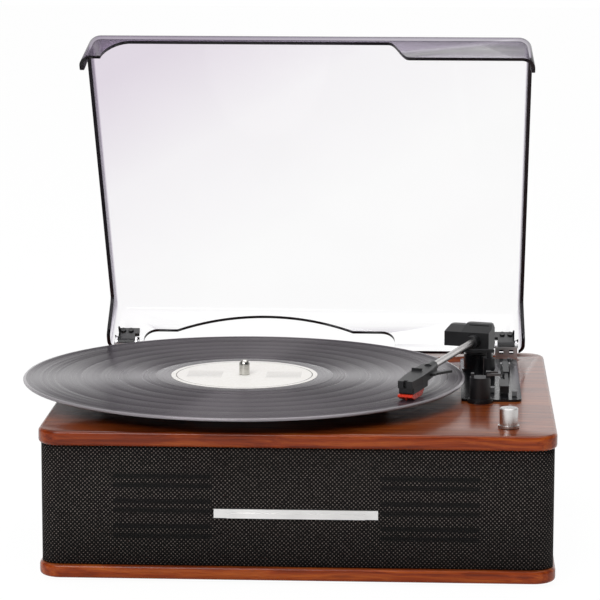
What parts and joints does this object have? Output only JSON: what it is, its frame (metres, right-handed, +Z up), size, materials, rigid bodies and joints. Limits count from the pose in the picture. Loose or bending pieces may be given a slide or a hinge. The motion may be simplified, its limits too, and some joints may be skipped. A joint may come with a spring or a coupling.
{
  "type": "record player with built-in speakers",
  "caption": "Wooden record player with built-in speakers behind a wrap-around cloth, a pivoted tonearm, a volume knob and a hinged smoked dust cover.",
  "frame": {"origin": "middle of the four rubber feet, on the surface that the case stands on", "axes": "+Z up, +X to the right seen from the front, +Y to the back"},
  "size_m": [0.3601, 0.3292, 0.3409],
  "materials": {
    "veneer": "satin lacquered",
    "plain_wood": "raw",
    "baffle_board": "matte painted",
    "cloth": "woven",
    "chrome": "polished",
    "nickel": "satin",
    "steel": "zinc plated",
    "dark_screw": "black oxide",
    "rubber": "matte",
    "black_plastic": "fine grain",
    "gloss_black": "polished",
    "grey_plastic": "satin",
    "red_plastic": "glossy",
    "paper_cone": "felted paper",
    "ferrite": "matte",
    "circuit": "solder mask",
    "brass": "turned",
    "platter_metal": "satin",
    "aluminium": "satin turned",
    "vinyl": "grooved gloss",
    "label_paper": "matte",
    "smoked_acrylic": "clear polished"
  },
  "bodies": {
    "cabinet": {"base_board": "veneer", "rubber_feet": "rubber", "cabinet_frame": "plain_wood", "corner_blocks": "plain_wood", "front_baffle": "baffle_board", "grille_cloth": "cloth", "badge_bar": "chrome", "back_panel": "black_plastic", "dc_inlet": "black_plastic", "line_out_sockets": "nickel", "jack_socket": "black_plastic", "top_board": "veneer", "wood_screws": "dark_screw", "speaker_left_basket": "steel", "speaker_left_cone": "paper_cone", "speaker_left_magnet": "ferrite", "speaker_right_basket": "steel", "speaker_right_cone": "paper_cone", "speaker_right_magnet": "ferrite", "amplifier_board": "circuit", "board_standoffs": "brass", "chassis_plate": "steel", "machine_screws": "steel", "spindle_bush": "brass", "motor": "steel", "drive_belt": "rubber", "arm_plate": "gloss_black", "arm_column": "gloss_black", "arm_rest": "black_plastic", "cue_cylinder": "black_plastic", "cue_bracket": "steel", "volume_pot": "steel", "hinge_bracket_left": "steel", "hinge_bracket_right": "steel", "hinge_pins": "steel"},
    "lid": {"dust_cover": "smoked_acrylic", "hinge_block_left": "black_plastic", "hinge_block_right": "black_plastic", "cover_screws": "dark_screw"},
    "platter": {"platter": "platter_metal", "platter_mat": "rubber", "spindle": "nickel", "record": "vinyl", "record_label": "label_paper"},
    "pulley": {"motor_pulley": "brass"},
    "arm_swivel": {"arm_yoke": "black_plastic"},
    "tonearm": {"arm_housing": "black_plastic", "arm_pivot_pin": "steel", "arm_tube": "aluminium", "headshell": "black_plastic", "cartridge": "black_plastic", "stylus_holder": "red_plastic"},
    "cue_lever": {"cue_lever": "black_plastic"},
    "cue_platform": {"cue_platform": "black_plastic"},
    "rest_clip": {"rest_clip": "chrome"},
    "speed_switch": {"speed_switch": "grey_plastic"},
    "autostop_switch": {"autostop_switch": "grey_plastic"},
    "volume_knob": {"volume_knob": "aluminium", "pot_shaft": "steel"}
  },
  "joints": [
    {"name": "cover_hinge", "type": "hinge", "parent": "cabinet", "child": "lid", "pos_m": [0, 0.1355, 0.107], "axis": [1, 0, 0], "range_deg": [0, 56]},
    {"name": "platter_spin", "type": "hinge", "parent": "cabinet", "child": "platter", "pos_m": [-0.0423, -0.012, 0.1], "axis": [0, 0, -1], "continuous": true},
    {"name": "pulley_spin", "type": "hinge", "parent": "cabinet", "child": "pulley", "pos_m": [-0.09038, -0.06008, 0.1], "axis": [0, 0, -1], "continuous": true},
    {"name": "arm_swing", "type": "hinge", "parent": "cabinet", "child": "arm_swivel", "pos_m": [0.1185, 0.07, 0.1], "axis": [0, 0, -1], "range_deg": [-16.35, 27.7]},
    {"name": "arm_lift", "type": "hinge", "parent": "arm_swivel", "child": "tonearm", "pos_m": [0.1185, 0.07, 0.1243], "axis": [-0.9596, 0.2815, 0], "range_deg": [0, 4.95]},
    {"name": "cue_lever_tilt", "type": "hinge", "parent": "cabinet", "child": "cue_lever", "pos_m": [0.1374, 0.062, 0.1056], "axis": [-1, 0, 0], "range_deg": [0, 9]},
    {"name": "cue_platform_rise", "type": "slide", "parent": "cabinet", "child": "cue_platform", "axis": [0, 0, 1], "range_m": [0, 0.0025]},
    {"name": "rest_clip_turn", "type": "hinge", "parent": "cabinet", "child": "rest_clip", "pos_m": [0.1239, -0.0395, 0.1197], "axis": [0, -1, 0], "range_deg": [0, 110]},
    {"name": "speed_select", "type": "slide", "parent": "cabinet", "child": "speed_switch", "axis": [0, 1, 0], "range_m": [0, 0.01]},
    {"name": "autostop_select", "type": "slide", "parent": "cabinet", "child": "autostop_switch", "axis": [0, 1, 0], "range_m": [0, 0.004]},
    {"name": "volume_turn", "type": "hinge", "parent": "cabinet", "child": "volume_knob", "pos_m": [0.136, -0.1225, 0.1], "axis": [0, 0, -1], "range_deg": [0, 300]}
  ],
  "couplings": [
    {"joint": "pulley_spin", "follows": "platter_spin", "ratio": 17.188},
    {"joint": "cue_lever_tilt", "follows": "arm_lift", "ratio": 1.8182},
    {"joint": "cue_platform_rise", "follows": "arm_lift", "m_per_rad": 0.028937}
  ]
}
